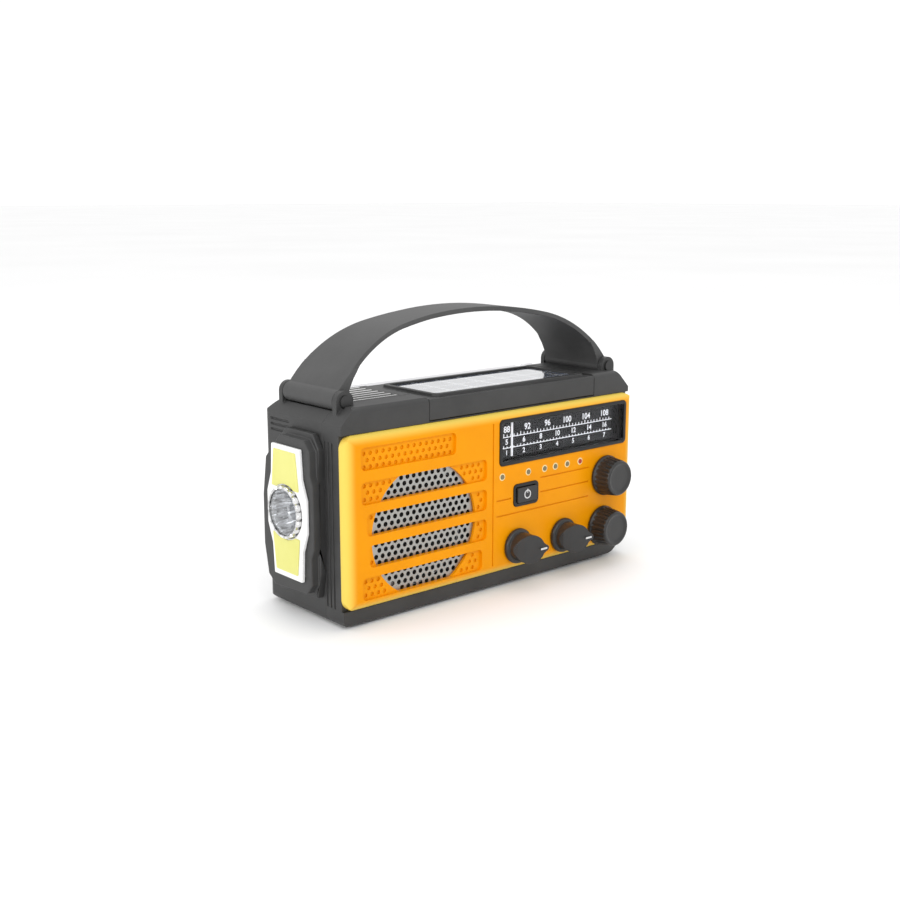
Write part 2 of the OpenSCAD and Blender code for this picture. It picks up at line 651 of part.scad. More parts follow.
// an arched strap, narrow at its middle, thicker towards the two barrels
module handle_strap() color([0.25, 0.25, 0.26]) at() {
  R1 = 190;
  R2 = 58;
  a = 12.15;
  cx = W/2;
  h = strap_wide/2;
  n = strap_narrow/2;
  sx = (R1-R2)*sin(a);
  sz = handle_top - R1 + (R1-R2)*cos(a);
  difference() {
    union() {
      intersection() {
        ext_y(strap_y-h, strap_y+h) {
          arc_seg([cx, handle_top-R1], R1, strap_thick, 90-a, 90+a);
          arc_seg([cx-sx, sz], R2, strap_thick, 90+a-0.01, 147.5);
          arc_seg([cx+sx, sz], R2, strap_thick, 32.5, 90-a+0.01);
        }
        ext_z(80, 130) translate([0, strap_y]) polygon([[-2, -h], [cx-70, -h], [cx-40, -n-1.4],
          [cx-24, -n], [cx+24, -n], [cx+40, -n-1.4], [cx+70, -h], [W+2, -h], [W+2, h],
          [cx+70, h], [cx+40, n+1.4], [cx+24, n], [cx-24, n], [cx-40, n+1.4], [cx-70, h],
          [-2, h]]);
      }
      for (s = [0, 1]) translate([s*W, 0, 0]) mirror([s, 0, 0]) {
        cyl_y(hub_r, strap_y-h, strap_y+h, [hub_x, hub_z]);
        ext_y(strap_y-h, strap_y+h) polygon([[2.9, 87.2], [4.4, 88.7], [7.1, 92.2], [9.9, 95.4],
          [14.3, 99.4], [16, 98.6], [13.6, 95], [11.6, 91], [11, 88]]);
      }
    }
    for (x = [hub_x, W-hub_x]) cyl_y(pin_r+run_gap, 0, 60, [x, hub_z]);
  }
}

module battery_door() color([0.12, 0.12, 0.13]) at() {
  difference() {
    union() {
      box([11.6, 55, 8], [60.4, D, 41.5]);
      cyl_x(1.4, 11.6, 60.4, [55.6, 8]);
    }
    for (i = [0:4]) box([30, D-0.5, 32+i*1.8], [42, D+1, 32.8+i*1.8]);
  }
}
module spare_cells() color([0.75, 0.76, 0.78]) at() for (i = [0:2]) {
  cyl_x(5.2, 14, 57.5, [48.6, 12.8+i*11.2]);
  cyl_x(1.9, 57.4, 58.6, [48.6, 12.8+i*11.2]);
}
module lithium_cell() color([0.1, 0.35, 0.6]) at() {
  cyl_x(9.2, 14, 78, [38, 66]);
  cyl_x(4, 77.9, 79, [38, 66]);
}

module crank_shaft() color([0.7, 0.7, 0.72]) at() {
  cyl_y(3, 34.6, 44, crk);
  cyl_y(4, 43.9, 64.2, crk);
}
module crank_gear() color([0.9, 0.88, 0.8]) at() ext_y(44, 47) translate(crk) gear2(g1, 4, 0);
module idler_gear() color([0.9, 0.88, 0.8]) at() {
  ext_y(39.5, 42.5) translate(idl) gear2(g2, 1.5+run_gap, 6);
  ext_y(42.4, 47.4) translate(idl) gear2(p1, 1.5+run_gap, 15);
}
module dynamo() color([0.6, 0.61, 0.63]) at() difference() {
  union() {
    cyl_y(9.4, 19, 35.9, dyn);
    cyl_y(3, 35.8, 37.9, dyn);
  }
  cyl_y(1+run_gap, 28, 40, dyn);
}
module dynamo_pinion() color([0.8, 0.7, 0.3]) at() {
  ext_y(39.2, 42.8) translate(dyn) gear2(p2, 0.9, 24);
  cyl_y(1, 29, 43.4, dyn);
}
module gearbox_plate() color([0.2, 0.2, 0.21]) at() {
  ext_y(36, 38) difference() {
    union() {
      rr(80.5, 8, 127, 64, 2);
      rr(110, 8, 152, 33, 2);
    }
    translate(crk) circle(3+run_gap);
    translate(dyn) circle(3.05);
  }
  cyl_y(1.5, 37.9, 50, idl);
  for (p = [[84, 12], [84, 60], [123, 60], [148.5, 12]]) cyl_y(2.5, 37.9, yi1-0.02, p);
}
module crank_arm() color([0.13, 0.13, 0.14]) at() {
  L = crank_arm_len;
  difference() {
    ext_y(58.6, 65) translate(crk) difference() {
      union() {
        circle(9);
        translate([0, -7]) square([14, 14]);
        rr(8, -8, L+6, 8, 4);
      }
      rr(15, -5.2, L+7, 5.2, 1);
    }
    cyl_y(4, 58, 64.2, crk);
    translate([crk[0]+L, 62.2, crk[1]-9]) cylinder(r = 1+run_gap, h = 18, $fn = 24);
  }
}
module crank_spindle() color([0.7, 0.7, 0.72]) at() {
  L = crank_arm_len;
  translate([crk[0]+L, 62.2, crk[1]-4.8]) cylinder(r = 2.8, h = 9.6);
  translate([crk[0]+L, 62.2, crk[1]-7.8]) cylinder(r = 1, h = 15.6, $fn = 24);
  cyl_x(1.6, crk[0]+L-26, crk[0]+L-1, [62.2, crk[1]]);
  cyl_x(2.6, crk[0]+L-26.6, crk[0]+L-25.1, [62.2, crk[1]]);
}
module crank_grip() color([0.14, 0.14, 0.15]) at() {
  L = crank_arm_len;
  translate([crk[0]+L-24.9, 62.2, crk[1]]) rotate([0, 90, 0]) rotate_extrude()
    polygon([[1.65, 0], [3.2, 0], [4.2, 1], [4.4, 4], [4, 11], [4.4, 18], [4.2, 20.4], [3.2, 21.4],
      [1.65, 21.4]]);
}

module aer_tube(r1, r0, x0, x1) difference() {
  cyl_x(r1, x0, x1, [aer[1], aer[2]]);
  if (r0 > 0) cyl_x(r0, x0-1, x1+1, [aer[1], aer[2]]);
}
module aerial_knuckle() color([0.8, 0.8, 0.82]) at() difference() {
  union() {
    cyl_y(3.1, 51, 56.6, [aer[0], aer[2]]);
    cyl_x(2.6, aer[0]+1, aer[0]+7, [aer[1], aer[2]]);
  }
  cyl_y(1.2+run_gap, 50, 58, [aer[0], aer[2]]);
}
module aerial_tube() color([0.85, 0.85, 0.87]) at() aer_tube(aerial_r, 2.6, aer[0]+3.5, aer[0]+120);
module aerial_middle() color([0.85, 0.85, 0.87]) at() aer_tube(2.55, 2.05, aer[0]+8, aer[0]+122);
module aerial_tip() color([0.85, 0.85, 0.87]) at() {
  aer_tube(2, 0, aer[0]+10, aer[0]+126);
  aer_tube(aerial_r, 0, aer[0]+125.9, aer[0]+131);
}

module port_cover() color([0.1, 0.1, 0.1]) at() {
  translate([W-0.5, 22.2, 44.9]) cylinder(r = 0.6, h = 16.4);
  ext_x(W-1.1, W+0.1) rr4(22.2, 44.9, 48.7, 61.3, 0, 1.2, 1.2, 0);
}
module usb_ports() color([0.75, 0.75, 0.77]) at() {
  box([W-23, 24, 48.5], [W-2.3, 47, 49.7]);
  difference() {
    box([W-16, 36, 49.6], [W-2.6, 46, 57.2]);
    box([W-15, 36.6, 50.3], [W, 45.4, 56.5]);
  }
  box([W-15.1, 37.2, 52.6], [W-4, 44.8, 54.4]);
  difference() {
    ext_x(W-12, W-2.6) rr(25, 49.65, 34, 53, 1.6);
    ext_x(W-11, W) rr(25.4, 50.05, 33.6, 52.6, 1.2);
  }
  box([W-11.1, 26.2, 51], [W-4.5, 32.8, 51.7]);
}
module screws() color([0.7, 0.7, 0.72]) at() {
  ext_y(9, screw_seat+0.1) corners2(1.45);
  ext_y(screw_seat+0.02, screw_seat+1.8) corners2(2.8);
  ext_y(10, 16.62) posts2(0.85);
  ext_y(16.61, 17.8) posts2(2);
  cyl_y(1.2, 48.1, 57, [aer[0], aer[2]]);
  cyl_y(2.4, 56.7, 57.6, [aer[0], aer[2]]);
}
module rubber_feet() color([0.08, 0.08, 0.08]) at() ext_z(bot-foot_height, bot-0.01)
  for (p = [[16, 13], [W-16, 13], [16, 45], [W-16, 45]]) translate(p) circle(5);

// ---- parts list -----------------------------------------------------------
front_panel();
front_case();
rear_case();
speaker_mesh();
speaker_basket();
speaker_cone();
dial_bezel();
dial_lens();
dial_scale();
dial_needle();
dial_rail();
dial_cord();
tuning_knob();
tuning_shaft();
tuning_drum();
tuning_capacitor();
volume_knob();
volume_shaft();
band_knob();
band_shaft();
light_knob();
light_shaft();
rotary_controls();
button_bezel();
push_button();
button_switch();
indicator_leds();
main_board();
ferrite_rod();
torch_housing();
torch_plate();
cob_strips();
torch_lens();
torch_reflector();
torch_led();
solar_lid();
solar_panel();
lamp_lens();
hinge_pins();
handle_strap();
battery_door();
spare_cells();
lithium_cell();
crank_shaft();
crank_gear();
idler_gear();
dynamo();
dynamo_pinion();
gearbox_plate();
crank_arm();
crank_spindle();
crank_grip();
aerial_knuckle();
aerial_tube();
aerial_middle();
aerial_tip();
port_cover();
usb_ports();
screws();
rubber_feet();
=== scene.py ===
"""A portable emergency radio: the finished look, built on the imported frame."""
import math

import bpy
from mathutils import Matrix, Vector


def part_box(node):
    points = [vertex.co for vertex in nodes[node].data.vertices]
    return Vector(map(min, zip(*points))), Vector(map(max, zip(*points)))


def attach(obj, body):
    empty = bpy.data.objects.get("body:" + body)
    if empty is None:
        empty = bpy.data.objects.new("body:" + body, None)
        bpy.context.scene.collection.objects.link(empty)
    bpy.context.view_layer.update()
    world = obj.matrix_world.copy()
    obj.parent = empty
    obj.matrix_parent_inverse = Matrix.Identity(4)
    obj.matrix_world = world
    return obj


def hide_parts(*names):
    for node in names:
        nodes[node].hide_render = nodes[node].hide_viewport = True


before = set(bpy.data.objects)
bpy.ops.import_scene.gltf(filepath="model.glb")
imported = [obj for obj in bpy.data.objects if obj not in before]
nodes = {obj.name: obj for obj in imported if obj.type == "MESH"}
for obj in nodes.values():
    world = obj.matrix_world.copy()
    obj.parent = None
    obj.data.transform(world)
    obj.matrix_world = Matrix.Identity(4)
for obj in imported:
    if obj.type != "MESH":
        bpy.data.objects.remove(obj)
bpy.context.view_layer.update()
MM = 0.001
SAME_POINT = 0.004 * MM     # points of a carried-over mesh nearer than this are one point
PRINT_DEPTH = 0.02 * MM     # how far printed figures stand out
MARK_DEPTH = 0.01 * MM      # how far a pointer's mark stands out
LAMP_PLACES = (80.75, 96.1, 106.0, 112.6, 120.1, 128.25)    # across the panel, in millimetres

# ---- places, read from the frame -------------------------------------------
PANEL_LOW, PANEL_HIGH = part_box("front_panel")
PANEL_MIDDLE = (PANEL_LOW + PANEL_HIGH) / 2
PANEL_HALF = (PANEL_HIGH - PANEL_LOW) / 2


def spot(x, y, z):
    """A place given in millimetres from the panel's lower left front corner."""
    return PANEL_LOW + Vector((x, y, z)) * MM


# ---- small helpers ----------------------------------------------------------
def deselect():
    if bpy.context.object and bpy.context.object.mode != "OBJECT":
        bpy.ops.object.mode_set(mode="OBJECT")
    for o in bpy.context.selected_objects:
        o.select_set(False)


def make_active(obj):
    deselect()
    obj.select_set(True)
    bpy.context.view_layer.objects.active = obj
    return obj


def apply_modifier(obj, kind, **settings):
    make_active(obj)
    modifier = obj.modifiers.new(kind.title(), kind)
    for key, value in settings.items():
        setattr(modifier, key, value)
    bpy.ops.object.modifier_apply(modifier=modifier.name)


def settle(obj):
    """Moves the object's place into its mesh."""
    make_active(obj)
    bpy.ops.object.transform_apply(location=True, rotation=True, scale=True)


def smooth(obj, angle=35):
    make_active(obj)
    bpy.ops.object.shade_smooth_by_angle(angle=math.radians(angle))


def paint(obj, material):
    obj.data.materials.clear()
    obj.data.materials.append(material)


# small pieces with a plain outline, whose flat faces are each kept as one face
PLAIN_OUTLINES = ("push_button", "band_knob", "light_knob")


def merged_copy(node):
    """A copy of a CAD node's mesh as one closed skin, in few faces where it is flat."""
    copy = bpy.data.objects.new(node + "_copy", nodes[node].data.copy())
    bpy.context.scene.collection.objects.link(copy)
    make_active(copy)
    bpy.ops.object.mode_set(mode="EDIT")
    bpy.ops.mesh.select_all(action="SELECT")
    bpy.ops.mesh.remove_doubles(threshold=SAME_POINT)
    if node in PLAIN_OUTLINES:
        bpy.ops.mesh.dissolve_limited(angle_limit=math.radians(0.6))
    else:
        bpy.ops.mesh.tris_convert_to_quads(face_threshold=math.radians(1),
                                           shape_threshold=math.radians(180))
    bpy.ops.object.mode_set(mode="OBJECT")
    return copy


def softened(node, name, material, body, slot, width):
    """Stands for a CAD node, with the small rounded edges that a mould gives."""
    piece = merged_copy(node)
    low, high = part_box(node)
    apply_modifier(piece, "BEVEL", width=width * MM, segments=2, limit_method="ANGLE",
                   angle_limit=math.radians(28), miter_outer="MITER_ARC", use_clamp_overlap=False)
    # where edges meet at a sharp angle the rounding throws a point out: it is set back on the skin
    for vertex in piece.data.vertices:
        found, place, _, _ = nodes[node].closest_point_on_mesh(vertex.co)
        if found and (vertex.co - place).length > width * MM:
            vertex.co = place
        vertex.co = [min(max(value, least), most) for value, least, most in zip(vertex.co, low, high)]
    smooth(piece, 40)
    apply_modifier(piece, "WEIGHTED_NORMAL", keep_sharp=True)
    return finish_piece(piece, name, material, body, slot, node)


def joined(parts):
    """Several meshes made into one."""
    deselect()
    for part in parts:
        part.select_set(True)
    bpy.context.view_layer.objects.active = parts[0]
    bpy.ops.object.join()
    settle(bpy.context.object)
    return bpy.context.object


def printed(words, size, place):
    """Flat printed figures that face the front."""
    deselect()
    bpy.ops.object.text_add(location=place, rotation=(math.radians(90), 0, 0))
    text = bpy.context.object
    text.data.body = words
    text.data.size = size * MM
    text.data.align_x = "CENTER"
    text.data.align_y = "CENTER"
    text.data.extrude = 0.00001
    text.data.offset = 0.00008
    bpy.ops.object.convert(target="MESH")
    settle(text)
    return text


def bar(low, high, rounding=0.3):
    """A bar with rounded edges between two corners."""
    deselect()
    bpy.ops.mesh.primitive_cube_add(size=1, location=(low + high) / 2)
    piece = bpy.context.object
    piece.scale = high - low
    settle(piece)
    width = min(high - low) * rounding
    apply_modifier(piece, "BEVEL", width=width, segments=2)
    return piece


def band(place, radius, thick):
    """A ring that faces the front, pressed to half its thickness."""
    deselect()
    bpy.ops.mesh.primitive_torus_add(major_radius=radius * MM, minor_radius=thick * MM,
                                     major_segments=40, minor_segments=10)
    piece = bpy.context.object
    piece.scale = (1, 1, 0.5)
    settle(piece)
    piece.location = place
    piece.rotation_euler = (math.radians(90), 0, 0)
    settle(piece)
    return piece


def finish_piece(obj, name, material, body, slot, *replaced):
    """Names a piece, paints it, and says which body it rides on and what it stands for."""
    obj.name = name
    obj.data.name = name
    paint(obj, material)
    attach(obj, body)
    if replaced:
        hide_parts(*replaced)
    return obj


# ---- shader node helpers ------------------------------------------------------
def new_material(name):
    material = bpy.data.materials.new(name)
    material.use_nodes = True
    tree = material.node_tree
    tree.nodes.clear()
    out = tree.nodes.new("ShaderNodeOutputMaterial")
    shader = tree.nodes.new("ShaderNodeBsdfPrincipled")
    tree.links.new(shader.outputs["BSDF"], out.inputs["Surface"])
    return material, tree, shader


def add(tree, kind, **settings):
    node = tree.nodes.new("ShaderNode" + kind)
    for key, value in settings.items():
        if key in node.inputs:
            node.inputs[key].default_value = value
        else:
            setattr(node, key, value)
    return node


def link(tree, a, b):
    tree.links.new(a, b)


def coordinates(tree):
    return add(tree, "TexCoord").outputs["Object"]


def ramp(tree, source, stops):
    node = add(tree, "ValToRGB")
    elements = node.color_ramp.elements
    while len(elements) < len(stops):
        elements.new(0.5)
    for element, (place, colour) in zip(elements, stops):
        element.position = place
        element.color = colour if len(colour) == 4 else (*colour, 1)
    link(tree, source, node.inputs["Fac"])
    return node.outputs["Color"]


def grey(v):
    return (v, v, v, 1)


def colour_mix(tree, factor):
    """A colour mix; gives its two colour inputs and its colour output."""
    mix = add(tree, "Mix", data_type="RGBA")
    link(tree, factor, mix.inputs["Factor"])
    # the sockets of a Mix share names over its data types, so colours are found by type
    first, second = [s for s in mix.inputs if s.type == "RGBA"]
    return first, second, [s for s in mix.outputs if s.type == "RGBA"][0]


def group_tree(name, inputs, outputs):
    tree = bpy.data.node_groups.new(name, "ShaderNodeTree")
    for label, kind, value in inputs:
        socket = tree.interface.new_socket(label, in_out="INPUT", socket_type=kind)
        if value is not None:
            socket.default_value = value
    for label, kind in outputs:
        tree.interface.new_socket(label, in_out="OUTPUT", socket_type=kind)
    return tree, tree.nodes.new("NodeGroupInput"), tree.nodes.new("NodeGroupOutput")


def moulded_grain_group():
    """Fine moulded texture with slow handling marks over it."""
    tree, given, out = group_tree(
        "Moulded grain",
        [("Grain Size", "NodeSocketFloat", 2600.0), ("Dark", "NodeSocketColor", grey(0.02)),
         ("Light", "NodeSocketColor", grey(0.05)), ("Rough Low", "NodeSocketFloat", 0.4),
         ("Rough High", "NodeSocketFloat", 0.55)],
        [("Color", "NodeSocketColor"), ("Roughness", "NodeSocketFloat"), ("Height", "NodeSocketFloat")])
    place = coordinates(tree)
    grain = add(tree, "TexNoise", Detail=3.0, Roughness=0.6)
    link(tree, place, grain.inputs["Vector"])
    link(tree, given.outputs["Grain Size"], grain.inputs["Scale"])
    cloud = add(tree, "TexNoise", Scale=38.0, Detail=4.0, Roughness=0.65)
    link(tree, place, cloud.inputs["Vector"])
    blend = add(tree, "MapRange")
    blend.inputs["From Min"].default_value = 0.3
    blend.inputs["From Max"].default_value = 0.7
    link(tree, cloud.outputs["Fac"], blend.inputs["Value"])
    fine = add(tree, "Math", operation="MULTIPLY_ADD")
    link(tree, grain.outputs["Fac"], fine.inputs[0])
    fine.inputs[1].default_value = 0.35
    link(tree, blend.outputs["Result"], fine.inputs[2])
    dark, light, colour = colour_mix(tree, fine.outputs["Value"])
    link(tree, given.outputs["Dark"], dark)
    link(tree, given.outputs["Light"], light)
    rough = add(tree, "MapRange")
    link(tree, cloud.outputs["Fac"], rough.inputs["Value"])
    link(tree, given.outputs["Rough Low"], rough.inputs["To Min"])
    link(tree, given.outputs["Rough High"], rough.inputs["To Max"])
    link(tree, colour, out.inputs["Color"])
    link(tree, rough.outputs["Result"], out.inputs["Roughness"])
    link(tree, grain.outputs["Fac"], out.inputs["Height"])
    return tree


GRAIN = moulded_grain_group()


def use_group(tree, group, **values):
    node = tree.nodes.new("ShaderNodeGroup")
    node.node_tree = group
    for key, value in values.items():
        node.inputs[key.replace("_", " ").title()].default_value = value
    return node


def bump(tree, shader, height, depth, strength):
    node = add(tree, "Bump", Strength=strength, Distance=depth)
    link(tree, height, node.inputs["Height"])
    link(tree, node.outputs["Normal"], shader.inputs["Normal"])


def moulded_plastic(name, dark, light, rough, grain_size=2600.0, strength=0.4, **extra):
    """Moulded plastic or rubber with grain, handling marks and uneven gloss."""
    material, tree, shader = new_material(name)
    grain = use_group(tree, GRAIN, dark=dark, light=light, rough_low=rough[0],
                      rough_high=rough[1], grain_size=grain_size)
    link(tree, grain.outputs["Color"], shader.inputs["Base Color"])
    link(tree, grain.outputs["Roughness"], shader.inputs["Roughness"])
    bump(tree, shader, grain.outputs["Height"], 0.00004, strength)
    for key, value in extra.items():
        shader.inputs[key.replace("_", " ").title().replace("Ior", "IOR")].default_value = value
    return material


def bare_metal(name, colour, rough, stretch=(1, 1, 1)):
    """Metal with fine drawn lines; stretch squeezes the lines along an axis."""
    material, tree, shader = new_material(name)
    mapping = add(tree, "Mapping", Scale=stretch)
    link(tree, coordinates(tree), mapping.inputs["Vector"])
    lines = add(tree, "TexNoise", Scale=900.0, Detail=4.0, Roughness=0.7)
    link(tree, mapping.outputs["Vector"], lines.inputs["Vector"])
    link(tree, ramp(tree, lines.outputs["Fac"], [(0.3, [c * 0.82 for c in colour]), (0.7, colour)]),
         shader.inputs["Base Color"])
    spread = add(tree, "MapRange")
    link(tree, lines.outputs["Fac"], spread.inputs["Value"])
    spread.inputs["To Min"].default_value = rough * 0.7
    spread.inputs["To Max"].default_value = rough * 1.4
    link(tree, spread.outputs["Result"], shader.inputs["Roughness"])
    shader.inputs["Metallic"].default_value = 1.0
    bump(tree, shader, lines.outputs["Fac"], 0.00002, 0.25)
    return material


def from_middle(tree, value, centre, half, width):
    """Grows from 0 to 1 over the last width before half, counted from centre."""
    away = add(tree, "Math", operation="SUBTRACT")
    link(tree, value, away.inputs[0])
    away.inputs[1].default_value = centre
    size = add(tree, "Math", operation="ABSOLUTE")
    link(tree, away.outputs["Value"], size.inputs[0])
    spread = add(tree, "MapRange", interpolation_type="SMOOTHSTEP")
    link(tree, size.outputs["Value"], spread.inputs["Value"])
    spread.inputs["From Min"].default_value = half - width
    spread.inputs["From Max"].default_value = half
    return spread.outputs["Result"]


def panel_plastic():
    """Orange plastic with a painted highlight: paler towards the panel's outline, where its rounded
    border would catch the light.
    """
    material, tree, shader = new_material("Orange panel plastic")
    grain = use_group(tree, GRAIN, dark=(0.74, 0.262, 0.0003, 1), light=(0.80, 0.300, 0.0004, 1),
                      rough_low=0.3, rough_high=0.42, grain_size=1800.0)
    parts = add(tree, "SeparateXYZ")
    link(tree, coordinates(tree), parts.inputs["Vector"])
    across = from_middle(tree, parts.outputs["X"], PANEL_MIDDLE.x, PANEL_HALF.x, 0.0052)
    up = from_middle(tree, parts.outputs["Z"], PANEL_MIDDLE.z, PANEL_HALF.z, 0.0042)
    # painted highlight: the share of pale colour grows towards the panel's outline
    highlight_mask = add(tree, "Math", operation="MAXIMUM")
    link(tree, across, highlight_mask.inputs[0])
    link(tree, up, highlight_mask.inputs[1])
    inside, rim, colour = colour_mix(tree, highlight_mask.outputs["Value"])
    link(tree, grain.outputs["Color"], inside)
    # colour of the painted highlight on the panel's rounded border
    rim.default_value = (0.74, 0.55, 0.10, 1)
    link(tree, colour, shader.inputs["Base Color"])
    link(tree, grain.outputs["Roughness"], shader.inputs["Roughness"])
    bump(tree, shader, grain.outputs["Height"], 0.00003, 0.15)
    shader.inputs["Specular IOR Level"].default_value = 0.1
    return material


ORANGE = panel_plastic()
CASE_BLACK = moulded_plastic("Black case plastic", grey(0.016), grey(0.034), (0.42, 0.6))
GLOSS_BLACK = moulded_plastic("Gloss black plastic", grey(0.004), grey(0.009), (0.12, 0.22),
                              strength=0.08, specular_ior_level=0.35)
KNOB_BLACK = moulded_plastic("Black knob plastic", grey(0.010), grey(0.020), (0.3, 0.42),
                             strength=0.2)
STRAP_GREY = moulded_plastic("Grey strap rubber", grey(0.036), grey(0.058), (0.5, 0.68),
                             grain_size=1500.0, strength=0.35)
DARK_STEEL = moulded_plastic("Blackened steel", grey(0.03), grey(0.05), (0.3, 0.45), metallic=0.6)
SOFT_BLACK = moulded_plastic("Soft black rubber", grey(0.02), grey(0.035), (0.6, 0.8))
WHITE_PLASTIC = moulded_plastic("White reflector plastic", grey(0.78), grey(0.88), (0.2, 0.32),
                                strength=0.1)
NATURAL = moulded_plastic("Natural gear plastic", (0.62, 0.58, 0.46, 1), (0.75, 0.72, 0.6, 1),
                          (0.4, 0.5))
STEEL = bare_metal("Bright steel", (0.62, 0.62, 0.64, 1), 0.28)
CHROME = bare_metal("Plated brass tube", (0.82, 0.82, 0.84, 1), 0.09, stretch=(0.05, 1, 1))
POT_METAL = bare_metal("Zinc plate", (0.5, 0.51, 0.53, 1), 0.4)
BRASS = bare_metal("Turned brass", (0.78, 0.58, 0.26, 1), 0.22)
MESH_METAL = bare_metal("Painted mesh metal", (0.42, 0.42, 0.40, 1), 0.38)
RIB_METAL = bare_metal("Satin rib metal", (0.78, 0.78, 0.77, 1), 0.3)
BOARD_GREEN = moulded_plastic("Green solder mask", (0.01, 0.12, 0.04, 1), (0.02, 0.2, 0.07, 1),
                              (0.2, 0.35))
FERRITE = moulded_plastic("Ferrite", grey(0.03), grey(0.06), (0.5, 0.7))
PAPER = moulded_plastic("Black cone paper", grey(0.02), grey(0.04), (0.75, 0.9),
                        grain_size=900.0, strength=0.6)
CORD = moulded_plastic("Dial cord", (0.5, 0.46, 0.34, 1), (0.65, 0.6, 0.48, 1), (0.7, 0.85))
SLEEVE = moulded_plastic("Blue cell sleeve", (0.01, 0.05, 0.2, 1), (0.02, 0.09, 0.3, 1),
                         (0.2, 0.35))
PHOSPHOR = moulded_plastic("Yellow light strip", (0.62, 0.60, 0.15, 1), (0.68, 0.66, 0.2, 1),
                           (0.35, 0.5))
# white print with a painted glow: the emission lights the dial marks and needle, though no lamp stands
# behind the dial
PRINT_WHITE = moulded_plastic("Dial print with painted glow", grey(0.8), grey(0.9), (0.4, 0.5),
                              emission_color=grey(0.9), emission_strength=0.55)
PALE_RING = moulded_plastic("Pale lamp rims", (0.74, 0.62, 0.30, 1), (0.84, 0.72, 0.4, 1),
                            (0.3, 0.4))
PALE_GREY = moulded_plastic("Pale printed marks", grey(0.5), grey(0.65), (0.4, 0.5))


def faceted_bowl():
    """Silvered plastic with pressed facets that run out from the middle."""
    material, tree, shader = new_material("Silvered bowl")
    low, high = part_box("torch_reflector")
    centre = (low + high) / 2
    parts = add(tree, "SeparateXYZ")
    link(tree, coordinates(tree), parts.inputs["Vector"])
    sides = []
    for label, offset in (("Y", centre.y), ("Z", centre.z)):
        away = add(tree, "Math", operation="SUBTRACT")
        link(tree, parts.outputs[label], away.inputs[0])
        away.inputs[1].default_value = offset
        sides.append(away.outputs["Value"])
    turn = add(tree, "Math", operation="ARCTAN2")
    link(tree, sides[0], turn.inputs[0])
    link(tree, sides[1], turn.inputs[1])
    facets = add(tree, "Math", operation="MULTIPLY")
    link(tree, turn.outputs["Value"], facets.inputs[0])
    facets.inputs[1].default_value = 9.0
    wave = add(tree, "Math", operation="SINE")
    link(tree, facets.outputs["Value"], wave.inputs[0])
    height = add(tree, "Math", operation="ABSOLUTE")
    link(tree, wave.outputs["Value"], height.inputs[0])
    bump(tree, shader, height.outputs["Value"], 0.0011, 1.0)
    dust = add(tree, "TexNoise", Scale=500.0, Detail=3.0)
    link(tree, coordinates(tree), dust.inputs["Vector"])
    link(tree, ramp(tree, dust.outputs["Fac"], [(0.3, grey(0.62)), (0.7, grey(0.82))]),
         shader.inputs["Base Color"])
    spread = add(tree, "MapRange")
    link(tree, dust.outputs["Fac"], spread.inputs["Value"])
    spread.inputs["To Min"].default_value = 0.05
    spread.inputs["To Max"].default_value = 0.16
    link(tree, spread.outputs["Result"], shader.inputs["Roughness"])
    shader.inputs["Metallic"].default_value = 1.0
    return material


def stripes(tree, value, pitch, share, start=0.0):
    """1 on thin lines that repeat every pitch along a coordinate."""
    scaled = add(tree, "Math", operation="MULTIPLY_ADD")
    link(tree, value, scaled.inputs[0])
    scaled.inputs[1].default_value = 1 / pitch
    scaled.inputs[2].default_value = start
    part = add(tree, "Math", operation="FRACT")
    link(tree, scaled.outputs["Value"], part.inputs[0])
    line = add(tree, "Math", operation="LESS_THAN")
    link(tree, part.outputs["Value"], line.inputs[0])
    line.inputs[1].default_value = share
    return line.outputs["Value"]


def solar_cells():
    """Dark blue cells with fine pale lines under clear laminate."""
    material, tree, shader = new_material("Solar cells")
    parts = add(tree, "SeparateXYZ")
    link(tree, coordinates(tree), parts.inputs["Vector"])
    fingers = stripes(tree, parts.outputs["X"], 0.0016, 0.14)
    gaps = stripes(tree, parts.outputs["X"], 0.0128, 0.09)
    bus = stripes(tree, parts.outputs["Y"], 0.0102, 0.08, 0.35)
    lines = add(tree, "Math", operation="MAXIMUM")
    link(tree, gaps, lines.inputs[0])
    link(tree, bus, lines.inputs[1])
    faint = add(tree, "Math", operation="MULTIPLY")
    link(tree, fingers, faint.inputs[0])
    faint.inputs[1].default_value = 0.35
    both = add(tree, "Math", operation="MAXIMUM")
    link(tree, lines.outputs["Value"], both.inputs[0])
    link(tree, faint.outputs["Value"], both.inputs[1])
    crystal = add(tree, "TexVoronoi", Scale=420.0)
    link(tree, coordinates(tree), crystal.inputs["Vector"])
    cells = ramp(tree, crystal.outputs["Color"],
                 [(0.2, (0.030, 0.045, 0.085)), (0.8, (0.055, 0.075, 0.13))])
    under, over, colour = colour_mix(tree, both.outputs["Value"])
    link(tree, cells, under)
    over.default_value = (0.62, 0.65, 0.7, 1)
    link(tree, colour, shader.inputs["Base Color"])
    shader.inputs["Roughness"].default_value = 0.12
    shader.inputs["Coat Weight"].default_value = 1.0
    shader.inputs["Coat Roughness"].default_value = 0.05
    return material


def small_lamps():
    """Clear lamps, lit faintly; the one at the right is red."""
    material, tree, shader = new_material("Small lamps")
    parts = add(tree, "SeparateXYZ")
    link(tree, coordinates(tree), parts.inputs["Vector"])
    right = add(tree, "Math", operation="GREATER_THAN")
    link(tree, parts.outputs["X"], right.inputs[0])
    right.inputs[1].default_value = spot(124, 0, 0).x
    colour = ramp(tree, right.outputs["Value"], [(0.0, (0.16, 0.13, 0.07)), (1.0, (0.35, 0.02, 0.01))])
    link(tree, colour, shader.inputs["Base Color"])
    link(tree, colour, shader.inputs["Emission Color"])
    shader.inputs["Emission Strength"].default_value = 0.1
    shader.inputs["Roughness"].default_value = 0.2
    return material


REFLECTOR = faceted_bowl()
SOLAR = solar_cells()
LAMPS = small_lamps()


